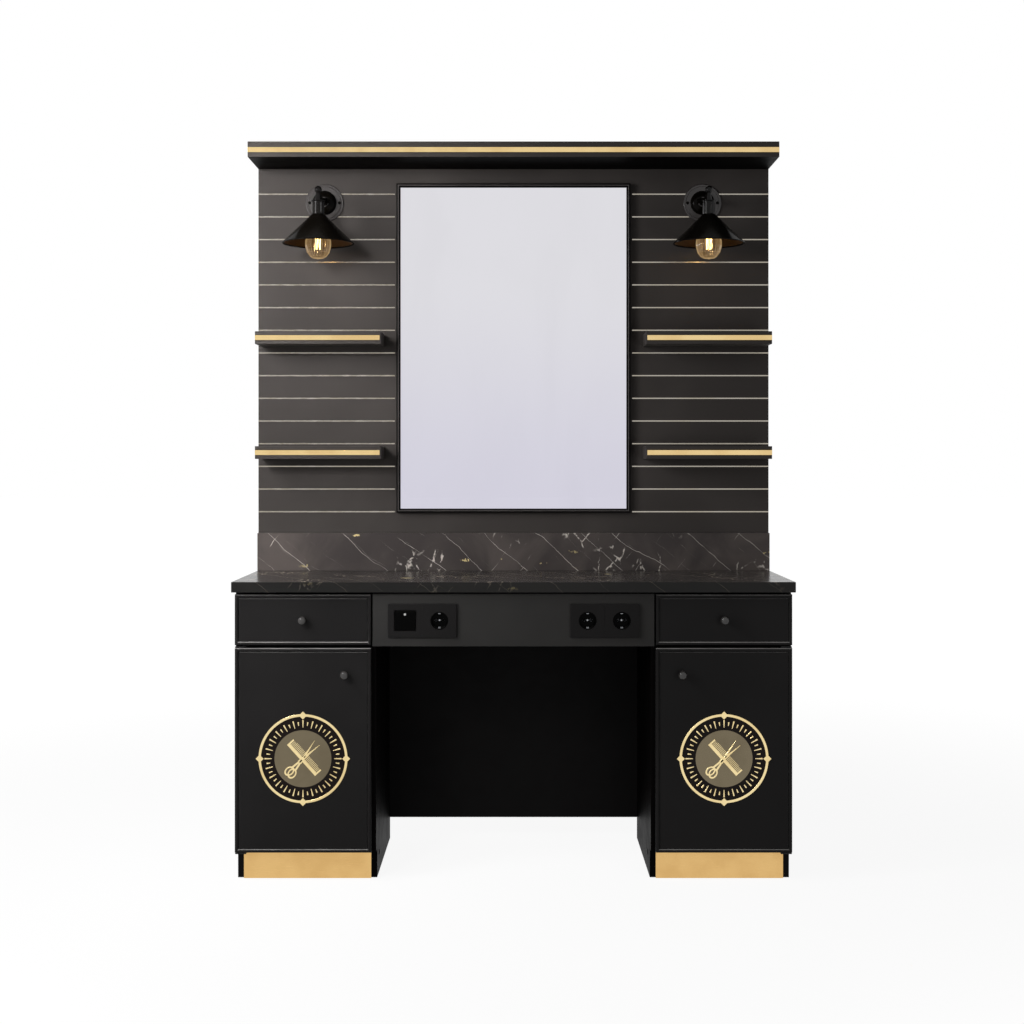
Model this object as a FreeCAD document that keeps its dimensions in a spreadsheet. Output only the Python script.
"""Barber's wall station: two pedestals under a stone counter, with a mirror wall, shelves and lamps above.

Frame: X to the right, Y to the back, Z up, in millimetres. The origin is on the floor under the
middle of the station. The customer's side faces -Y.
"""

import FreeCAD, Part
import os
import re

import Sketcher

VECTOR = FreeCAD.Vector

SIZES = {
    # Countertop and backsplash
    "counter_width": 1500.0,
    "counter_depth": 495.0,
    "counter_thickness": 28.0,
    "counter_top": 806.0,
    "splash_thickness": 20.0,
    "splash_height": 110.0,
    # Pedestals
    "board": 18.0,
    "back_board": 6.0,
    "pedestal_width": 376.0,
    "counter_overhang": 6.0,
    "toe_height": 81.0,
    "toe_recess": 51.0,
    "glide_height": 3.0,
    "glide_radius": 8.0,
    "glide_inset": 22.0,
    "plinth_thickness": 16.0,
    "kick_thickness": 1.5,
    "kick_lap": 2.0,
    "kick_clearance": 1.0,
    "modesty_bottom": 69.0,
    # Doors and drawer fronts
    "door_setback": 18.0,
    "door_thickness": 18.0,
    "door_gap": 2.0,
    "top_gap": 7.0,
    "drawer_height": 135.5,
    "front_gap": 7.5,
    "side_gap": 3.9,
    "front_border": 12.0,
    "field_depth": 4.0,
    "edge_bevel": 2.0,
    # Centre fascia
    "fascia_lap": 7.6,
    "fascia_gap": 5.0,
    "fascia_height": 140.0,
    # Knobs
    "knob_reach": 30.0,
    "knob_radius": 12.2,
    "knob_neck_radius": 5.0,
    "knob_rose_radius": 7.5,
    "knob_rose_height": 3.0,
    "knob_stud_radius": 2.0,
    "knob_inset": 70.0,
    # Door pivots and catches
    "pivot_inset": 6.0,
    "pivot_plate": 3.0,
    "pivot_plate_width": 30.0,
    "pivot_plate_reach": 28.0,
    "pivot_margin": 5.0,
    "pivot_shoulder": 1.0,
    "pivot_pin_radius": 2.5,
    "pivot_pin_length": 12.0,
    "pin_clearance": 0.05,
    "bore_extra": 1.0,
    "catch_width": 14.0,
    "catch_depth": 30.0,
    "catch_height": 40.0,
    "catch_drop": 24.0,
    "strike_thickness": 1.7,
    # Cupboard shelves
    "cupboard_shelf_height": 340.0,
    "cupboard_shelf_setback": 20.0,
    "shelf_pin_radius": 2.5,
    "shelf_pin_length": 16.0,
    "shelf_pin_inset": 50.0,
    "shelf_side_gap": 0.5,
    # Drawers
    "drawer_rear_gap": 33.0,
    "drawer_box_lift": 9.5,
    "drawer_box_height": 100.0,
    "drawer_wall": 12.0,
    "drawer_floor": 8.0,
    "rail_width": 12.7,
    "rail_height": 45.0,
    "rail_short": 20.0,
    "rail_wall": 1.5,
    "rail_gap": 0.4,
    "rail_setback": 4.0,
    # Switch and sockets
    "outlet_inset": 132.6,
    "outlet_half_pitch": 45.5,
    "outlet_drop": 76.0,
    "plate_width": 184.0,
    "plate_height": 90.0,
    "plate_thickness": 8.0,
    "box_width": 164.0,
    "box_height": 66.0,
    "box_depth": 50.0,
    "box_wall": 2.0,
    "box_clearance": 0.3,
    "socket_radius": 23.7,
    "socket_clearance": 0.3,
    "recess_radius": 20.5,
    "recess_depth": 17.5,
    "cup_depth": 26.0,
    "terminal_radius": 18.0,
    "contact_radius": 2.5,
    "contact_pitch": 19.0,
    "contact_depth": 19.0,
    "rocker_width": 56.0,
    "rocker_height": 51.0,
    "rocker_proud": 1.0,
    "rocker_dish": 1.8,
    "rocker_skirt": 5.8,
    "rocker_heel": 12.0,
    "rocker_tilt": 4.0,
    "rocker_pivot_depth": 4.0,
    "rocker_pin_radius": 1.5,
    "rocker_pin_length": 2.5,
    "rocker_side_gap": 0.6,
    "rocker_end_gap": 1.5,
    "switch_wall": 2.9,
    "switch_cavity": 12.0,
    "gland_inset": 68.0,
    "gland_drop": 38.0,
    "gland_radius": 10.0,
    "gland_flange_radius": 14.0,
    "gland_flange": 5.0,
    "gland_bore_radius": 4.0,
    # Wall unit
    "wall_depth": 63.0,
    "wall_height": 1179.0,
    "stile_width": 60.0,
    "strip_count": 15,
    "strip_pitch": 66.7,
    "strip_height": 4.0,
    "strip_depth": 2.0,
    "first_strip": 171.9,
    "strip_gap": 6.0,
    "fixing_radius": 3.0,
    "fixing_depth": 35.0,
    "fixing_inset": 150.0,
    # Cornice
    "cornice_height": 43.5,
    "cornice_overhang": 182.0,
    "cornice_board": 12.0,
    "cornice_edge": 18.0,
    "cornice_strip_lift": 12.5,
    "cornice_strip_height": 15.5,
    "trim_thickness": 3.0,
    "trim_proud": 1.5,
    # Mirror
    "mirror_bottom": 169.5,
    "mirror_width": 686.0,
    "mirror_height": 965.0,
    "mirror_border": 12.0,
    "mirror_frame_depth": 20.0,
    "mirror_backing": 9.0,
    "mirror_glass": 5.0,
    "mirror_bevel": 2.0,
    "mirror_bevel_width": 12.0,
    # Wall shelves
    "shelf_inner_gap": 37.0,
    "shelf_outer_inset": 10.0,
    "shelf_depth": 120.0,
    "shelf_thickness": 36.5,
    "upper_shelf": 656.0,
    "lower_shelf": 327.0,
    "shelf_strip_height": 16.0,
    "shelf_strip_short": 3.0,
    "rod_radius": 5.0,
    "rod_reach": 80.0,
    "rod_inset": 60.0,
    # Lamps
    "lamp_inset": 195.0,
    "lamp_height": 1079.0,
    "lamp_reach": 150.0,
    "lamp_flange_radius": 56.0,
    "lamp_flange": 6.0,
    "lamp_dome_radius": 34.0,
    "lamp_dome": 22.0,
    "lamp_pivot_reach": 38.0,
    "ear_thickness": 5.0,
    "ear_radius": 10.0,
    "eye_radius": 9.0,
    "eye_length": 10.4,
    "eye_gap": 0.3,
    "lamp_pin_radius": 3.0,
    "arm_radius": 5.0,
    "thumb_radius": 7.0,
    "thumb_length": 9.0,
    "plate_screw_offset": 44.0,
    "plate_screw_radius": 2.0,
    "plate_screw_head_radius": 4.5,
    "plate_screw_head": 2.5,
    "finial_radius": 10.5,
    "finial_lift": 13.0,
    "stem_top_radius": 7.0,
    "stem_bottom_radius": 10.0,
    "stem_drop": 17.0,
    "collar_radius": 18.5,
    "collar_height": 4.0,
    "cup_radius": 17.5,
    "cup_height": 35.5,
    "skirt_radius": 16.0,
    "skirt_height": 28.0,
    "retainer_radius": 17.2,
    "retainer_height": 3.0,
    "shade_hole_gap": 0.1,
    "shade_top_radius": 18.0,
    "shade_rim_radius": 102.0,
    "shade_height": 84.5,
    "shade_wall": 1.5,
    "bulb_radius": 37.0,
    "bulb_drop": 91.5,
    "bulb_shoulder": 26.0,
    "bulb_cap_radius": 13.2,
    "bulb_cap_height": 38.0,
    "bulb_cap_gap": 0.1,
}

DERIVED = {
    # Depths, from the front to the back
    "total_depth": "counter_depth + knob_reach - door_setback",
    "back_plane": "total_depth / 2",
    "counter_front": "back_plane - counter_depth",
    "door_front": "counter_front + door_setback",
    "door_rear": "door_front + door_thickness",
    "carcass_front": "door_rear + door_gap",
    "kick_front": "door_front + toe_recess",
    "panel_front": "back_plane - back_board",
    "wall_face": "back_plane - wall_depth",
    "panel_rear": "wall_face + board",
    # Widths, from the middle outwards
    "pedestal_outer": "counter_width / 2 - counter_overhang",
    "pedestal_inner": "pedestal_outer - pedestal_width",
    "carcass_outer": "pedestal_outer - board",
    "carcass_inner": "pedestal_inner + board",
    "fascia_half": "pedestal_inner + fascia_lap",
    "front_inner": "fascia_half + side_gap",
    "front_width": "pedestal_outer - front_inner",
    "wall_half": "counter_width / 2",
    # Heights, from the floor up
    "counter_under": "counter_top - counter_thickness",
    "drawer_top": "counter_under - top_gap",
    "drawer_bottom": "drawer_top - drawer_height",
    "door_top": "drawer_bottom - front_gap",
    "door_bottom": "toe_height + pivot_shoulder",
    "door_height": "door_top - door_bottom",
    "divider_top": "door_top + pivot_shoulder",
    "divider_bottom": "divider_top - board",
    "fascia_bottom": "counter_under - fascia_gap - fascia_height",
    "wall_top": "counter_top + wall_height",
    # Doors
    "pivot_x": "pedestal_outer - pivot_inset",
    "pivot_y": "door_front + door_thickness / 2",
    "catch_z": "door_top - catch_drop - catch_height",
    # Drawers
    "drawer_box_z": "drawer_bottom + drawer_box_lift",
    "rail_z": "drawer_box_z + drawer_box_height / 2",
    "drawer_depth": "panel_front - drawer_rear_gap - door_rear",
    "rail_length": "drawer_depth - rail_short",
    "rail_y": "carcass_front + rail_setback",
    "rail_step": "rail_wall + rail_gap",
    # Outlets
    "outlet_offset": "fascia_half - outlet_inset",
    "outlet_height": "counter_under - outlet_drop",
    "plate_front": "door_front - plate_thickness",
    "rocker_x": "outlet_offset + outlet_half_pitch",
    "rocker_y": "door_front + rocker_pivot_depth",
    "rocker_face": "plate_thickness + rocker_pivot_depth + rocker_proud",
    "switch_width": "rocker_width + 2 * rocker_side_gap + 2 * switch_wall",
    "switch_height": "rocker_height + 2 * rocker_end_gap + 2 * switch_wall",
    # Wall and mirror
    "strip_start": "mirror_width / 2 + strip_gap",
    "mirror_z": "counter_top + mirror_bottom",
    "glass_half": "mirror_width / 2 - mirror_border",
    "glass_z": "mirror_z + mirror_border",
    "glass_height": "mirror_height - 2 * mirror_border",
    # Wall shelves
    "shelf_inner": "mirror_width / 2 + shelf_inner_gap",
    "shelf_outer": "wall_half - shelf_outer_inset",
    "shelf_front": "wall_face - shelf_depth",
    # Lamps
    "lamp_offset": "wall_half - lamp_inset",
    "lamp_z": "counter_top + lamp_height",
    "lamp_y": "wall_face - lamp_reach",
    "lamp_pivot_y": "wall_face - lamp_pivot_reach",
    "cup_top": "lamp_z - stem_drop - collar_height",
    "shade_top": "cup_top - cup_height",
    "shade_slope": "(shade_rim_radius - shade_top_radius) / shade_height",
    "shade_side": "shade_wall * sqrt(1 + shade_slope * shade_slope)",
    "bulb_z": "shade_top - bulb_drop",
    "skirt_bottom": "shade_top - skirt_height",
}

SIDES = {"left": -1, "right": 1}

document = FreeCAD.newDocument("salon_station")
sheet = document.addObject("Spreadsheet::Sheet", "Sizes")
nodes = []


def fill_sheet():
    """Write each driving size in a cell of its own and name the cell after it."""
    for row, (name, value) in enumerate(SIZES.items(), start=1):
        sheet.set(f"A{row}", name)
        sheet.set(f"B{row}", str(value))
        sheet.setAlias(f"B{row}", name)
    document.recompute()


def formula(text):
    """Spell out a formula of named sizes in the cells of the sheet."""
    def spell(match):
        word = match.group(0)
        if word in DERIVED:
            return "(" + formula(DERIVED[word]) + ")"
        if word in SIZES:
            return "Sizes." + word
        return word
    return re.sub(r"[a-z][a-z_0-9]*", spell, str(text))


def measure(text):
    """Give the value of a formula of named sizes."""
    return float(sheet.evalExpression(formula(text)))


def bind(item, **properties):
    """Tie each property of an object to a formula of named sizes."""
    for name, text in properties.items():
        item.setExpression(name, formula(text))


def place(item, x, y, z, rotation=None):
    """Turn an object and tie its place to formulas."""
    if rotation is not None:
        item.Placement = FreeCAD.Placement(VECTOR(0, 0, 0), rotation)
    for axis, text in zip("xyz", (x, y, z)):
        item.setExpression(f"Placement.Base.{axis}", formula(text))
    return item


ALONG = {
    "x": FreeCAD.Rotation(VECTOR(0, 1, 0), 90),
    "y": FreeCAD.Rotation(VECTOR(1, 0, 0), -90),
    "z": FreeCAD.Rotation(),
    "-y": FreeCAD.Rotation(VECTOR(1, 0, 0), 90),
}


def box(label, x, y, z, length, width, height):
    """Add a board by its lowest corner and its size along X, Y and Z."""
    item = document.addObject("Part::Box", label)
    bind(item, Length=length, Width=width, Height=height)
    return place(item, x, y, z)


def rod(label, x, y, z, radius, length, axis="z"):
    """Add a round bar that starts at a point and runs along an axis."""
    item = document.addObject("Part::Cylinder", label)
    bind(item, Radius=radius, Height=length)
    return place(item, x, y, z, ALONG[axis])


def cone(label, x, y, z, low_radius, high_radius, height):
    """Add an upright cone by its lower centre."""
    item = document.addObject("Part::Cone", label)
    bind(item, Radius1=low_radius, Radius2=high_radius, Height=height)
    return place(item, x, y, z)


def ball(label, x, y, z, radius):
    """Add a ball by its centre."""
    item = document.addObject("Part::Sphere", label)
    bind(item, Radius=radius)
    return place(item, x, y, z)


def cut(label, base, *tools):
    """Take the tools away from the base."""
    item = document.addObject("Part::Cut", label)
    item.Base = base
    item.Tool = tools[0] if len(tools) == 1 else group(label + "_tools", tools)
    return item


def fuse(label, *shapes):
    """Join shapes into one solid."""
    item = document.addObject("Part::MultiFuse", label)
    item.Shapes = list(shapes)
    item.Refine = True
    return item


def group(label, shapes):
    """Keep shapes together as separate solids."""
    item = document.addObject("Part::Compound", label)
    item.Links = list(shapes)
    return item


def node(item, label):
    """Hand in an object as a sub-part of the station."""
    item.Label = label
    nodes.append(item)
    return item


def node_group(label, shapes):
    """Hand in several equal or matching solids as one sub-part."""
    return node(group(label, shapes), label)


def span(side, near, far):
    """Give the low end and the length of a stretch from near to far on one side of the middle."""
    low = f"-({far})" if side < 0 else near
    return low, f"({far}) - ({near})"


def origin_plane(body, role):
    """Find one of the body's own origin planes."""
    return next(item for item in body.Origin.OriginFeatures if item.Role == role)


def profile(body, role, points):
    """Draw a closed outline on an origin plane, with each corner tied to formulas."""
    sketch = body.newObject("Sketcher::SketchObject", body.Name + "_profile")
    sketch.AttachmentSupport = (origin_plane(body, role), [""])
    sketch.MapMode = "FlatFace"
    corners = [VECTOR(measure(x), measure(y), 0) for x, y in points]
    for index, corner in enumerate(corners):
        sketch.addGeometry(Part.LineSegment(corner, corners[(index + 1) % len(corners)]), False)
    for index in range(len(corners)):
        following = (index + 1) % len(corners)
        sketch.addConstraint(Sketcher.Constraint("Coincident", index, 2, following, 1))
    for index, (corner, texts) in enumerate(zip(corners, points)):
        for kind, value, text, axis in zip(("DistanceX", "DistanceY"), corner, texts, (-2, -1)):
            if str(text) == "0":
                sketch.addConstraint(Sketcher.Constraint("PointOnObject", index, 1, axis))
                continue
            number = sketch.addConstraint(Sketcher.Constraint(kind, -1, 1, index, 1, value))
            sketch.setExpression(f"Constraints[{number}]", formula(text))
    return sketch


def turned(label, points, x, y, z, axis="z"):
    """Turn an outline of (radius, height) corners about its axis."""
    body = document.addObject("PartDesign::Body", label)
    sketch = profile(body, "XZ_Plane", points)
    turn = body.newObject("PartDesign::Revolution", label + "_turn")
    turn.Profile = sketch
    turn.ReferenceAxis = (sketch, ["V_Axis"])
    turn.Angle = 360
    sketch.Visibility = False
    return place(body, x, y, z, ALONG[axis])


def padded(label, role, points, length, reverse=False, middle=False):
    """Give an outline on an origin plane a thickness."""
    body = document.addObject("PartDesign::Body", label)
    sketch = profile(body, role, points)
    pad = body.newObject("PartDesign::Pad", label + "_pad")
    pad.Profile = sketch
    pad.Reversed = reverse
    pad.Midplane = middle
    bind(pad, Length=length)
    return body


def frustum(label, x, y, z, width, depth, height, front_inset, rear_inset):
    """Add a block whose front and rear faces are inset from its width and height."""
    item = document.addObject("Part::Wedge", label)
    bind(item, Ymin="0", Ymax=depth, Xmin=front_inset, Zmin=front_inset, X2min=rear_inset, Z2min=rear_inset)
    bind(item, Xmax=f"({width}) - ({front_inset})", Zmax=f"({height}) - ({front_inset})")
    bind(item, X2max=f"({width}) - ({rear_inset})", Z2max=f"({height}) - ({rear_inset})")
    return place(item, x, y, z)


def framed_front(label, x, z, height, bores=()):
    """Build a door or drawer front: bevelled edges round a sunk field inside a narrow border."""
    slab_y = "door_front + edge_bevel"
    slab = box(label + "_slab", x, slab_y, z, "front_width", "door_thickness - edge_bevel", height)
    face = frustum(label + "_face", x, "door_front", z, "front_width", "edge_bevel", height,
                   "edge_bevel", "0")
    field = frustum(label + "_field", x, "door_front", z, "front_width", "field_depth", height,
                    "front_border", "front_border + field_depth")
    return cut(label, fuse(label + "_blank", slab, face), field, *bores)


def build_countertop():
    """Stone countertop and the upstand along its back."""
    counter = box("countertop", "-counter_width / 2", "counter_front", "counter_under",
                  "counter_width", "counter_depth", "counter_thickness")
    node(counter, "countertop")
    splash = box("backsplash", "-wall_half", "wall_face - splash_thickness", "counter_top",
                 "2 * wall_half", "splash_thickness", "splash_height")
    node(splash, "backsplash")


def shelf_pins(name, side):
    """Four pins that carry a cupboard shelf, half in the side boards and half out of them."""
    pins = []
    for wall in ("carcass_inner", "carcass_outer"):
        for spot in ("carcass_front + shelf_pin_inset", "panel_front - shelf_pin_inset"):
            x = f"{side} * ({wall}) - shelf_pin_length / 2"
            z = "cupboard_shelf_height - shelf_pin_radius"
            pins.append(rod(f"{name}_shelf_pin", x, spot, z, "shelf_pin_radius", "shelf_pin_length", "x"))
    return pins


def side_board(label, side, near, far, pins):
    """Upright board of a pedestal, notched at the toe and drilled for the shelf pins."""
    x, length = span(side, near, far)
    depth = "back_plane - carcass_front"
    blank = box(label + "_blank", x, "carcass_front", "glide_height", length, depth,
                "counter_under - glide_height")
    notch = box(label + "_notch", x, "carcass_front", "glide_height", length,
                "kick_front + kick_thickness - carcass_front", "toe_height - glide_height")
    return cut(label, blank, notch, *pins)


def build_pedestals():
    """Boards of both pedestals, with their shelves, plinths and glides."""
    outer, inner, bottoms, backs, shelves, pins, plinths, kicks, glides = ([] for _ in range(9))
    for name, side in SIDES.items():
        own_pins = shelf_pins(name, side)
        pins += own_pins
        outer.append(side_board(f"{name}_outer_side", side, "carcass_outer", "pedestal_outer", own_pins))
        inner.append(side_board(f"{name}_inner_side", side, "pedestal_inner", "carcass_inner", own_pins))
        x, length = span(side, "carcass_inner", "carcass_outer")
        depth = "panel_front - carcass_front"
        for level, z in (("bottom", "toe_height"), ("divider", "divider_bottom")):
            bottoms.append(box(f"{name}_{level}", x, "carcass_front", z, length, depth, "board"))
        backs.append(box(f"{name}_back", x, "panel_front", "toe_height", length, "back_board",
                         "counter_under - toe_height"))
        shelves.append(box(f"{name}_cupboard_shelf", f"{x} + shelf_side_gap",
                           "carcass_front + cupboard_shelf_setback", "cupboard_shelf_height",
                           f"{length} - 2 * shelf_side_gap", f"{depth} - cupboard_shelf_setback", "board"))
        plinths.append(box(f"{name}_plinth", x, "kick_front + kick_thickness", "glide_height", length,
                           "plinth_thickness", "toe_height - glide_height"))
        kick_x, kick_length = span(side, "carcass_inner - kick_lap", "carcass_outer + kick_lap")
        kicks.append(box(f"{name}_kick", kick_x, "kick_front", "kick_clearance", kick_length,
                         "kick_thickness", "toe_height - pivot_plate - 2 * kick_clearance"))
        for middle in ("pedestal_outer - board / 2", "pedestal_inner + board / 2"):
            for spot in ("kick_front + kick_thickness + glide_inset", "back_plane - glide_inset"):
                glides.append(rod(f"{name}_glide", f"{side} * ({middle})", spot, "0",
                                  "glide_radius", "glide_height"))
    node_group("outer_sides", outer)
    node_group("inner_sides", inner)
    node_group("pedestal_boards", bottoms)
    node_group("pedestal_backs", backs)
    node_group("cupboard_shelves", shelves)
    node_group("cupboard_shelf_pins", pins)
    node_group("plinth_boards", plinths)
    node_group("kick_plates", kicks)
    node_group("floor_glides", glides)


def knob(label, x, z):
    """Ball knob with a rose and a stud that goes through the sunk field."""
    field = "door_front + field_depth"
    reach = "knob_reach + field_depth"
    head = ball(label + "_ball", x, f"{field} - ({reach}) + knob_radius", z, "knob_radius")
    neck_length = f"{reach} - knob_radius"
    neck = rod(label + "_neck", x, field, z, "knob_neck_radius", neck_length, "-y")
    rose = rod(label + "_rose", x, field, z, "knob_rose_radius", "knob_rose_height", "-y")
    return node(fuse(label, head, neck, rose, knob_stud(label, x, z)), label)


def knob_stud(label, x, z):
    """Threaded end of a knob, from its rose to the back of the front."""
    length = "door_thickness - field_depth"
    return rod(label + "_stud", x, "door_front + field_depth", z, "knob_stud_radius", length, "y")


def pivot_bore(label, x, z):
    """Hole in the door for a pivot pin, from the edge of the door inwards."""
    return rod(label, x, "pivot_y", z, "pivot_pin_radius + pin_clearance", "pivot_pin_length + bore_extra")


def pivot(label, side, plate_z, pin_z, shoulder_z):
    """Pivot plate on the carcass with its pin, and a shoulder where it carries the door."""
    front = "pivot_y - pivot_margin"
    x, length = span(side, "pedestal_outer - pivot_plate_width", "pivot_x + pivot_margin")
    tongue = box(label + "_tongue", x, front, plate_z, length, f"carcass_front - ({front})", "pivot_plate")
    x, length = span(side, "pedestal_outer - pivot_plate_width", "carcass_outer")
    foot = box(label + "_foot", x, "carcass_front", plate_z, length, "pivot_plate_reach", "pivot_plate")
    pin_length = "pivot_pin_length + pivot_shoulder"
    pin = rod(label + "_pin", f"{side} * (pivot_x)", "pivot_y", pin_z, "pivot_pin_radius", pin_length)
    shapes = [tongue, foot, pin]
    if shoulder_z is not None:
        shapes.append(rod(label + "_shoulder", f"{side} * (pivot_x)", "pivot_y", shoulder_z,
                          "pivot_margin", "pivot_shoulder"))
    return fuse(label, *shapes)


def build_doors():
    """Both doors on their pivot pins, with knobs, strikes and catches."""
    pivots, catches = [], []
    for name, side in SIDES.items():
        x, _ = span(side, "front_inner", "pedestal_outer")
        knob_x = f"{side} * (front_inner + knob_inset)"
        knob_z = "door_top - knob_inset"
        low_bore = pivot_bore(f"{name}_low_bore", f"{side} * (pivot_x)", "door_bottom")
        high_bore = pivot_bore(f"{name}_high_bore", f"{side} * (pivot_x)",
                               "door_top - pivot_pin_length - bore_extra")
        panel = framed_front(f"{name}_door_panel", x, "door_bottom", "door_height",
                             [low_bore, high_bore, knob_stud(f"{name}_door_hole", knob_x, knob_z)])
        catch_x, catch_length = span(side, "carcass_inner", "carcass_inner + catch_width")
        strike = box(f"{name}_strike", catch_x, "door_rear", "catch_z",
                     catch_length, "strike_thickness", "catch_height")
        node_group(f"{name}_door", [panel, strike])
        knob(f"{name}_door_knob", knob_x, knob_z)
        catches.append(box(f"{name}_catch", catch_x, "carcass_front", "catch_z",
                           catch_length, "catch_depth", "catch_height"))
        pivots.append(pivot(f"{name}_low_pivot", side, "toe_height - pivot_plate", "toe_height",
                            "toe_height"))
        pivots.append(pivot(f"{name}_high_pivot", side, "divider_top",
                            "divider_top - pivot_shoulder - pivot_pin_length", None))
    node_group("door_pivots", pivots)
    node_group("door_catches", catches)


def channel(label, web_x, toward, depth, height):
    """Rolled steel channel along Y, with its web at web_x and its mouth facing one way along X."""
    half, mouth, web = f"({height}) / 2", f"{toward} * ({depth})", f"{toward} * rail_wall"
    outline = [
        ("0", f"-{half}"), (mouth, f"-{half}"), (mouth, f"rail_wall - {half}"), (web, f"rail_wall - {half}"),
        (web, f"{half} - rail_wall"), (mouth, f"{half} - rail_wall"), (mouth, half), ("0", half),
    ]
    body = padded(label, "XZ_Plane", outline, "rail_length", reverse=True)
    return place(body, web_x, "rail_y", "rail_z")


def drawer_slides(name, side):
    """Outer, middle and inner channels of both slides of one drawer."""
    outer, middle, inner = [], [], []
    for wall, toward in (("carcass_inner", side), ("carcass_outer", -side)):
        wall_x = f"{side} * ({wall})"
        outer.append(channel(f"{name}_outer_rail", wall_x, toward, "rail_width - rail_gap", "rail_height"))
        middle.append(channel(f"{name}_middle_rail", f"{wall_x} + {toward} * (rail_step)", toward,
                              "rail_width - rail_gap - rail_step", "rail_height - 2 * rail_step"))
        inner.append(channel(f"{name}_inner_rail", f"{wall_x} + {toward} * rail_width", -toward,
                             "rail_width - 2 * rail_step", "rail_height - 4 * rail_step"))
    return outer, middle, inner


def build_drawers():
    """Both drawers on their telescopic slides."""
    outer_rails = []
    for name, side in SIDES.items():
        x, _ = span(side, "front_inner", "pedestal_outer")
        knob_x = f"{side} * (front_inner + pedestal_outer) / 2"
        knob_z = "drawer_bottom + drawer_height / 2"
        front = framed_front(f"{name}_drawer_front", x, "drawer_bottom", "drawer_height",
                             [knob_stud(f"{name}_drawer_hole", knob_x, knob_z)])
        node(front, f"{name}_drawer_front")
        knob(f"{name}_drawer_knob", knob_x, knob_z)
        box_x, box_length = span(side, "carcass_inner + rail_width", "carcass_outer - rail_width")
        shell = box(f"{name}_drawer_shell", box_x, "door_rear", "drawer_box_z",
                    box_length, "drawer_depth", "drawer_box_height")
        hollow = box(f"{name}_drawer_hollow", f"{box_x} + drawer_wall", "door_rear + drawer_wall",
                     "drawer_box_z + drawer_floor", f"{box_length} - 2 * drawer_wall",
                     "drawer_depth - 2 * drawer_wall", "drawer_box_height")
        node(cut(f"{name}_drawer_box", shell, hollow), f"{name}_drawer_box")
        outer, middle, inner = drawer_slides(name, side)
        outer_rails += outer
        node_group(f"{name}_drawer_middle_rails", middle)
        node_group(f"{name}_drawer_inner_rails", inner)
    node_group("drawer_outer_rails", outer_rails)


def outlet_box(label, x, clearance, depth):
    """Block of the size of a back box, let into the fascia."""
    width = f"box_width + 2 * {clearance}"
    height = f"box_height + 2 * {clearance}"
    return box(label, f"{x} - ({width}) / 2", "door_front", f"outlet_height - ({height}) / 2",
               width, depth, height)


def back_box(name, x):
    """Open-fronted box that holds the outlets behind the fascia."""
    outer = outlet_box(f"{name}_box_shell", x, "0", "box_depth")
    hollow = box(f"{name}_box_hollow", f"{x} - box_width / 2 + box_wall", "door_front",
                 "outlet_height - box_height / 2 + box_wall", "box_width - 2 * box_wall",
                 "box_depth - box_wall", "box_height - 2 * box_wall")
    return cut(f"{name}_back_box", outer, hollow)


def socket_insert(label, x):
    """Round socket: an open cup with two contact holes on a terminal block."""
    depth = "plate_thickness + box_depth - box_wall"
    outline = [
        ("0", f"-({depth})"), ("terminal_radius", f"-({depth})"), ("terminal_radius", "-cup_depth"),
        ("socket_radius", "-cup_depth"), ("socket_radius", "0"), ("recess_radius", "0"),
        ("recess_radius", "-recess_depth"), ("0", "-recess_depth"),
    ]
    body = turned(label + "_body", outline, x, "plate_front", "outlet_height", "-y")
    contacts = []
    for offset in ("-contact_pitch / 2", "contact_pitch / 2"):
        contacts.append(rod(label + "_contact", f"{x} + {offset}", "plate_front + recess_depth",
                            "outlet_height", "contact_radius", "contact_depth", "y"))
    return cut(label, body, *contacts)


def socket_hole(label, x):
    """Round opening in a cover plate."""
    return rod(label, x, "plate_front", "outlet_height", "socket_radius + socket_clearance",
               "plate_thickness", "y")


def build_switch(x):
    """Rocker switch: the rocker on its two pins and the body that holds them."""
    pin_y = "rocker_y"
    body_x = f"{x} - switch_width / 2"
    block = box("switch_block", body_x, "door_front", "outlet_height - switch_height / 2",
                "switch_width", "box_depth - box_wall", "switch_height")
    cavity = box("switch_cavity_space", f"{body_x} + switch_wall", "door_front",
                 "outlet_height - switch_height / 2 + switch_wall", "switch_width - 2 * switch_wall",
                 "switch_cavity", "switch_height - 2 * switch_wall")
    bore = rod("switch_bore", f"{x} - rocker_width / 2 - rocker_pin_length - rocker_side_gap / 2", pin_y,
               "outlet_height", "rocker_pin_radius + pin_clearance",
               "rocker_width + 2 * rocker_pin_length + rocker_side_gap", "x")
    node(cut("switch_body", block, cavity, bore), "switch_body")
    end, skirt = "rocker_height / 2", "rocker_skirt - rocker_face - rocker_dish"
    outline = [
        ("-rocker_face", "0"), ("-rocker_face - rocker_dish", end), (skirt, end),
        ("rocker_pivot_depth", "rocker_heel"), ("rocker_pivot_depth", "-rocker_heel"),
        (skirt, f"-{end}"), ("-rocker_face - rocker_dish", f"-{end}"),
    ]
    key = padded("rocker_key", "YZ_Plane", outline, "rocker_width", middle=True)
    pin = rod("rocker_pin", "-rocker_width / 2 - rocker_pin_length", "0", "0", "rocker_pin_radius",
              "rocker_width + 2 * rocker_pin_length", "x")
    rocker = fuse("switch_rocker", key, pin)
    rotation = FreeCAD.Rotation(VECTOR(1, 0, 0), measure("rocker_tilt"))
    node(place(rocker, x, pin_y, "outlet_height", rotation), "switch_rocker")


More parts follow.
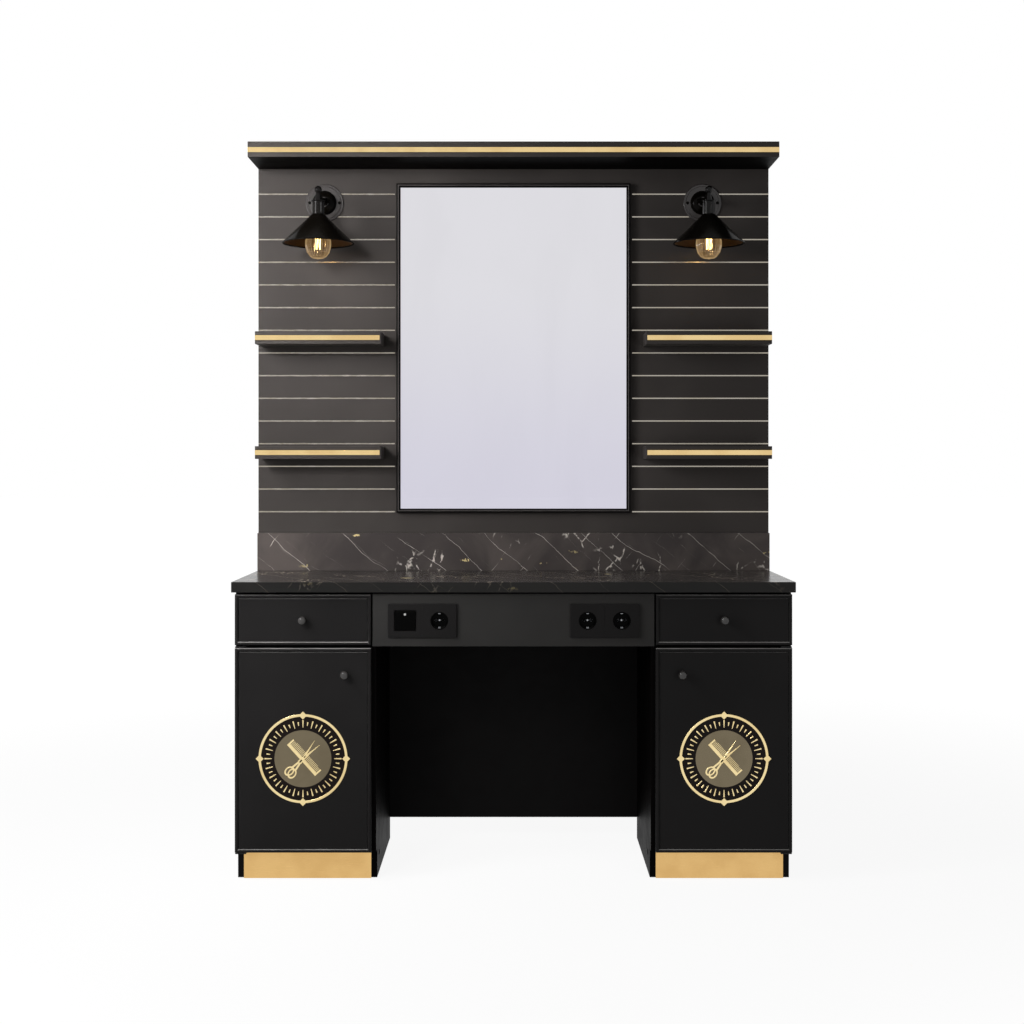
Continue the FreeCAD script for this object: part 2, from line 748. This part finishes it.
def build_outlets():
    """Fascia between the pedestals with its switch, sockets and back boxes, and the cable gland."""
    plates, boxes, inserts, recesses = [], [], [], []
    for name, side in SIDES.items():
        middle = f"{side} * (outlet_offset)"
        recesses.append(outlet_box(f"{name}_recess", middle, "box_clearance", "carcass_front - door_front"))
        boxes.append(back_box(name, middle))
        plate = box(f"{name}_plate_blank", f"{middle} - plate_width / 2", "plate_front",
                    "outlet_height - plate_height / 2", "plate_width", "plate_thickness", "plate_height")
        near_socket = f"{side} * (outlet_offset - outlet_half_pitch)"
        far_outlet = f"{side} * (rocker_x)"
        holes = [socket_hole(f"{name}_near_hole", near_socket)]
        inserts.append(socket_insert(f"{name}_near_socket", near_socket))
        if name == "left":
            width = "rocker_width + 2 * rocker_side_gap"
            height = "rocker_height + 2 * rocker_end_gap"
            holes.append(box("rocker_hole", f"{far_outlet} - ({width}) / 2", "plate_front",
                             f"outlet_height - ({height}) / 2", width, "plate_thickness", height))
            build_switch(far_outlet)
        else:
            holes.append(socket_hole(f"{name}_far_hole", far_outlet))
            inserts.append(socket_insert(f"{name}_far_socket", far_outlet))
        plates.append(cut(f"{name}_outlet_plate", plate, *holes))
    fascia = box("fascia_blank", "-fascia_half", "door_front", "fascia_bottom", "2 * fascia_half",
                 "carcass_front - door_front", "fascia_height")
    node(cut("centre_fascia", fascia, *recesses), "centre_fascia")
    node_group("outlet_plates", plates)
    node_group("socket_inserts", inserts)
    node_group("back_boxes", boxes)


def build_modesty_panel():
    """Back panel of the kneehole and the gland for the supply cable."""
    gland_z = "counter_under - gland_drop"
    x = "-(pedestal_inner - gland_inset)"
    panel_y = "back_plane - board"
    panel = box("modesty_blank", "-pedestal_inner", panel_y, "modesty_bottom", "2 * pedestal_inner",
                "board", "counter_under - modesty_bottom")
    barrel = rod("gland_barrel", x, panel_y, gland_z, "gland_radius", "board", "y")
    node(cut("modesty_panel", panel, barrel), "modesty_panel")
    flange = rod("gland_flange_ring", x, f"{panel_y} - gland_flange", gland_z,
                 "gland_flange_radius", "gland_flange", "y")
    bore = rod("gland_bore", x, f"{panel_y} - gland_flange", gland_z, "gland_bore_radius",
               "board + gland_flange", "y")
    blank = fuse("gland_blank", rod("gland_core", x, panel_y, gland_z, "gland_radius", "board", "y"), flange)
    node(cut("cable_gland", blank, bore), "cable_gland")


def gold_strips():
    """Brass inlays of the wall, flush with its face, on both sides of the mirror."""
    strips = []
    for name, side in SIDES.items():
        x, length = span(side, "strip_start", "wall_half")
        for index in range(int(measure("strip_count"))):
            z = f"counter_top + first_strip + {index} * strip_pitch - strip_height / 2"
            strips.append(box(f"{name}_strip", x, "wall_face", z, length, "strip_depth", "strip_height"))
    return strips


def build_wall(fittings):
    """Wall above the counter: a grooved front panel on a frame of stiles and rails."""
    strips = gold_strips()
    panel = box("wall_blank", "-wall_half", "wall_face", "counter_top", "2 * wall_half", "board",
                "wall_height")
    node(cut("wall_panel", panel, *strips, *fittings), "wall_panel")
    node_group("wall_gold_strips", strips)
    depth = "wall_depth - board"
    pieces = []
    for name, side in SIDES.items():
        x, length = span(side, "wall_half - stile_width", "wall_half")
        pieces.append(box(f"{name}_stile", x, "panel_rear", "counter_top", length, depth, "wall_height"))
    levels = {
        "low": "counter_top",
        "middle": "counter_top + (wall_height - stile_width) / 2",
        "high": "wall_top - stile_width",
    }
    for level, z in levels.items():
        rail = box(f"{level}_rail", "-wall_half + stile_width", "panel_rear", z,
                   "2 * (wall_half - stile_width)", depth, "stile_width")
        if level == "high":
            rail = cut("fixing_rail", rail, *fixing_holes())
        pieces.append(rail)
    node_group("wall_frame", pieces)


def fixing_holes():
    """Two blind holes in the back of the top rail for anti-tip fixings."""
    holes = []
    for name, side in SIDES.items():
        holes.append(rod(f"{name}_fixing", f"{side} * (wall_half - fixing_inset)", "back_plane",
                         "wall_top - stile_width / 2", "fixing_radius", "fixing_depth", "-y"))
    return holes


def build_cornice():
    """Hollow cornice over the wall: top and soffit boards round an edge frame, with a brass strip."""
    front = "wall_face - cornice_overhang"
    depth = f"back_plane - ({front})"
    levels = {"cornice_soffit": "wall_top", "cornice_top": "wall_top + cornice_height - cornice_board"}
    for name, z in levels.items():
        node(box(name, "-wall_half", front, z, "2 * wall_half", depth, "cornice_board"), name)
    low = "wall_top + cornice_board"
    tall = "cornice_height - 2 * cornice_board"
    strip = box("cornice_gold_strip", "-wall_half", f"{front} - trim_proud", "wall_top + cornice_strip_lift",
                "2 * wall_half", "trim_thickness", "cornice_strip_height")
    edge = box("cornice_edge_blank", "-wall_half", front, low, "2 * wall_half", "cornice_edge", tall)
    pieces = [cut("cornice_front", edge, strip)]
    for name, side in SIDES.items():
        x, length = span(side, "wall_half - cornice_edge", "wall_half")
        pieces.append(box(f"{name}_cornice_end", x, f"{front} + cornice_edge", low, length,
                          f"{depth} - cornice_edge", tall))
    pieces.append(box("cornice_rear_edge", "-wall_half + cornice_edge", "back_plane - cornice_edge", low,
                      "2 * (wall_half - cornice_edge)", "cornice_edge", tall))
    node_group("cornice_frame", pieces)
    node(strip, "cornice_gold_strip")


def build_mirror():
    """Mirror glass on its backing board inside a slim frame."""
    backing = box("mirror_backing", "-glass_half", "wall_face - mirror_backing", "glass_z",
                  "2 * glass_half", "mirror_backing", "glass_height")
    node(backing, "mirror_backing")
    rear_y = "wall_face - mirror_backing - mirror_glass + mirror_bevel"
    sheet_glass = box("mirror_sheet", "-glass_half", rear_y, "glass_z", "2 * glass_half",
                      "mirror_glass - mirror_bevel", "glass_height")
    face = frustum("mirror_face", "-glass_half", f"{rear_y} - mirror_bevel", "glass_z", "2 * glass_half",
                   "mirror_bevel", "glass_height", "mirror_bevel_width", "0")
    node(fuse("mirror_glass", sheet_glass, face), "mirror_glass")
    frame_y = "wall_face - mirror_frame_depth"
    pieces = []
    for name, side in SIDES.items():
        x, length = span(side, "glass_half", "mirror_width / 2")
        pieces.append(box(f"{name}_mirror_stile", x, frame_y, "mirror_z", length,
                          "mirror_frame_depth", "mirror_height"))
    for name, z in (("low", "mirror_z"), ("high", "mirror_z + mirror_height - mirror_border")):
        pieces.append(box(f"{name}_mirror_rail", "-glass_half", frame_y, z, "2 * glass_half",
                          "mirror_frame_depth", "mirror_border"))
    node_group("mirror_frame", pieces)


def build_shelves():
    """Four wall shelves with brass front strips, each hung on two steel rods. Gives the rods."""
    strips, all_rods = [], []
    for name, side in SIDES.items():
        shelves = []
        for level in ("upper_shelf", "lower_shelf"):
            label = f"{name}_{level}"
            x, length = span(side, "shelf_inner", "shelf_outer")
            z = f"counter_top + {level}"
            middle = f"{z} + shelf_thickness / 2"
            rods = []
            for spot in ("shelf_inner + rod_inset", "shelf_outer - rod_inset"):
                rods.append(rod(label + "_rod", f"{side} * ({spot})", "wall_face - rod_reach", middle,
                                "rod_radius", "rod_reach + board", "y"))
            strip_x, strip_length = span(side, "shelf_inner + shelf_strip_short", "shelf_outer")
            strip = box(label + "_strip", strip_x, "shelf_front - trim_proud",
                        f"{middle} - shelf_strip_height / 2", strip_length, "trim_thickness",
                        "shelf_strip_height")
            board = box(label + "_board", x, "shelf_front", z, length, "shelf_depth", "shelf_thickness")
            shelves.append(cut(label, board, strip, *rods))
            strips.append(strip)
            all_rods += rods
        node_group(f"{name}_shelves", shelves)
    node_group("shelf_gold_strips", strips)
    node_group("shelf_rods", all_rods)
    return all_rods


def lamp_plate(name, x, screws):
    """Domed wall plate with two ears for the arm's pivot."""
    rim = "lamp_flange_radius"
    outline = [
        ("0", "0"), (rim, "0"), (rim, "lamp_flange / 2"), (f"{rim} - lamp_flange / 2", "lamp_flange"),
        ("lamp_dome_radius", "lamp_flange"), ("lamp_dome_radius - 2", "lamp_dome - 6"),
        ("lamp_dome_radius - 10", "lamp_dome"), ("0", "lamp_dome"),
    ]
    dome = turned(f"{name}_lamp_dome", outline, x, "wall_face", "lamp_z", "-y")
    near = "eye_length / 2 + eye_gap"
    shapes = [dome]
    for hand, low in (("inner", near), ("outer", f"-({near}) - ear_thickness")):
        ear_x = f"{x} + {low}"
        shapes.append(box(f"{name}_{hand}_ear", ear_x, "lamp_pivot_y", "lamp_z - ear_radius",
                          "ear_thickness", "lamp_pivot_reach - lamp_dome + ear_thickness", "2 * ear_radius"))
        shapes.append(rod(f"{name}_{hand}_ear_end", ear_x, "lamp_pivot_y", "lamp_z",
                          "ear_radius", "ear_thickness", "x"))
    half = f"{near} + ear_thickness"
    bore = rod(f"{name}_ear_bore", f"{x} - ({half})", "lamp_pivot_y", "lamp_z",
               "lamp_pin_radius", f"2 * ({half})", "x")
    return cut(f"{name}_lamp_plate", fuse(f"{name}_lamp_casting", *shapes), bore, *screws)


def plate_screws(name, x):
    """Two screws that hold a lamp's plate to the wall, as heads and shanks."""
    screws = []
    for hand, sign in SIDES.items():
        spot = f"{x} + {sign} * plate_screw_offset"
        face = "wall_face - lamp_flange"
        shank = rod(f"{name}_{hand}_screw_shank", spot, face, "lamp_z", "plate_screw_radius",
                    "lamp_flange + board", "y")
        head = rod(f"{name}_{hand}_screw_head", spot, face, "lamp_z", "plate_screw_head_radius",
                   "plate_screw_head", "-y")
        screws.append(fuse(f"{name}_{hand}_plate_screw", shank, head))
    return screws


def thumb_screw(name, side, x):
    """Pivot pin of the arm, with a thumb wheel on the side of the mirror."""
    half = "eye_length / 2 + eye_gap + ear_thickness"
    pin = rod(f"{name}_thumb_pin", f"{x} - ({half})", "lamp_pivot_y", "lamp_z",
              "lamp_pin_radius", f"2 * ({half})", "x")
    wheel_x = f"{x} + ({half})" if side < 0 else f"{x} - ({half}) - thumb_length"
    wheel = rod(f"{name}_thumb_wheel", wheel_x, "lamp_pivot_y", "lamp_z", "thumb_radius",
                "thumb_length", "x")
    return fuse(f"{name}_thumb_screw", pin, wheel)


def build_lamp_head(name, x):
    """Everything of a lamp that tilts: arm, socket, shade and bulb."""
    eye = rod(f"{name}_eye", f"{x} - eye_length / 2", "lamp_pivot_y", "lamp_z", "eye_radius",
              "eye_length", "x")
    bore = rod(f"{name}_eye_bore", f"{x} - eye_length / 2", "lamp_pivot_y", "lamp_z",
               "lamp_pin_radius + pin_clearance", "eye_length", "x")
    tube = rod(f"{name}_arm_tube", x, "lamp_pivot_y", "lamp_z", "arm_radius",
               "lamp_reach - lamp_pivot_reach", "-y")
    node(cut(f"{name}_lamp_arm", fuse(f"{name}_arm_blank", eye, tube), bore), f"{name}_lamp_arm")

    stem_low = "lamp_z - stem_drop"
    stem_height = "stem_drop + finial_lift - finial_radius / 2"
    parts = [
        ball(f"{name}_finial", x, "lamp_y", "lamp_z + finial_lift", "finial_radius"),
        cone(f"{name}_stem", x, "lamp_y", stem_low, "stem_bottom_radius", "stem_top_radius", stem_height),
        rod(f"{name}_collar", x, "lamp_y", "cup_top", "collar_radius", "collar_height"),
        rod(f"{name}_cup", x, "lamp_y", "shade_top", "cup_radius", "cup_height"),
        rod(f"{name}_skirt", x, "lamp_y", "skirt_bottom", "skirt_radius", "skirt_height"),
        rod(f"{name}_retainer", x, "lamp_y", "shade_top - shade_wall - retainer_height",
            "retainer_radius", "retainer_height"),
    ]
    well = rod(f"{name}_bulb_well", x, "lamp_y", "skirt_bottom", "bulb_cap_radius + bulb_cap_gap",
               "bulb_cap_height + bulb_cap_gap")
    notch = rod(f"{name}_arm_seat", x, "lamp_pivot_y", "lamp_z", "arm_radius",
                "lamp_reach - lamp_pivot_reach", "-y")
    blank = fuse(f"{name}_socket_blank", *parts)
    node(cut(f"{name}_lamp_socket", blank, well, notch), f"{name}_lamp_socket")

    hole = "skirt_radius + shade_hole_gap"
    inner_top = "shade_top_radius + shade_wall * shade_slope - shade_side"
    outline = [
        (hole, "0"), ("shade_top_radius", "0"), ("shade_rim_radius", "-shade_height"),
        ("shade_rim_radius - shade_side", "-shade_height"), (inner_top, "-shade_wall"),
        (hole, "-shade_wall"),
    ]
    node(turned(f"{name}_lamp_shade", outline, x, "lamp_y", "shade_top"), f"{name}_lamp_shade")

    neck_z = "bulb_z + bulb_shoulder"
    neck_radius = "sqrt(bulb_radius * bulb_radius - bulb_shoulder * bulb_shoulder)"
    bulb = fuse(
        f"{name}_lamp_bulb",
        ball(f"{name}_globe", x, "lamp_y", "bulb_z", "bulb_radius"),
        cone(f"{name}_neck", x, "lamp_y", neck_z, neck_radius, "bulb_cap_radius",
             f"skirt_bottom - ({neck_z})"),
        rod(f"{name}_cap", x, "lamp_y", "skirt_bottom", "bulb_cap_radius", "bulb_cap_height"),
    )
    node(bulb, f"{name}_lamp_bulb")


def build_lamps():
    """Both wall lamps. Gives the screws that go into the wall."""
    plates, wall_screws, thumbs = [], [], []
    for name, side in SIDES.items():
        x = f"{side} * (lamp_offset)"
        screws = plate_screws(name, x)
        plates.append(lamp_plate(name, x, screws))
        wall_screws += screws
        thumbs.append(thumb_screw(name, side, x))
        build_lamp_head(name, x)
    node_group("lamp_wall_plates", plates)
    node_group("lamp_screws", wall_screws + thumbs)
    return wall_screws


def check_document():
    """Stop if any object failed or any sub-part is empty or unsound."""
    for item in document.Objects:
        if "Invalid" in item.State or "Error" in item.State:
            raise RuntimeError(f"{item.Label} failed: {item.State}")
    for item in nodes:
        if item.Shape.isNull() or not item.Shape.isValid() or not item.Shape.Solids:
            raise RuntimeError(f"{item.Label} has no sound solid")


def write_parts():
    """Write each sub-part to a STEP file of its own."""
    os.makedirs("parts", exist_ok=True)
    for item in nodes:
        item.Shape.exportStep(f"parts/{item.Label}.step")
    print(len(nodes), "sub-parts,", sum(len(item.Shape.Solids) for item in nodes), "solids")


fill_sheet()
build_countertop()
build_pedestals()
build_doors()
build_drawers()
build_outlets()
build_modesty_panel()
build_wall(build_shelves() + build_lamps())
build_cornice()
build_mirror()
document.recompute()
check_document()
write_parts()
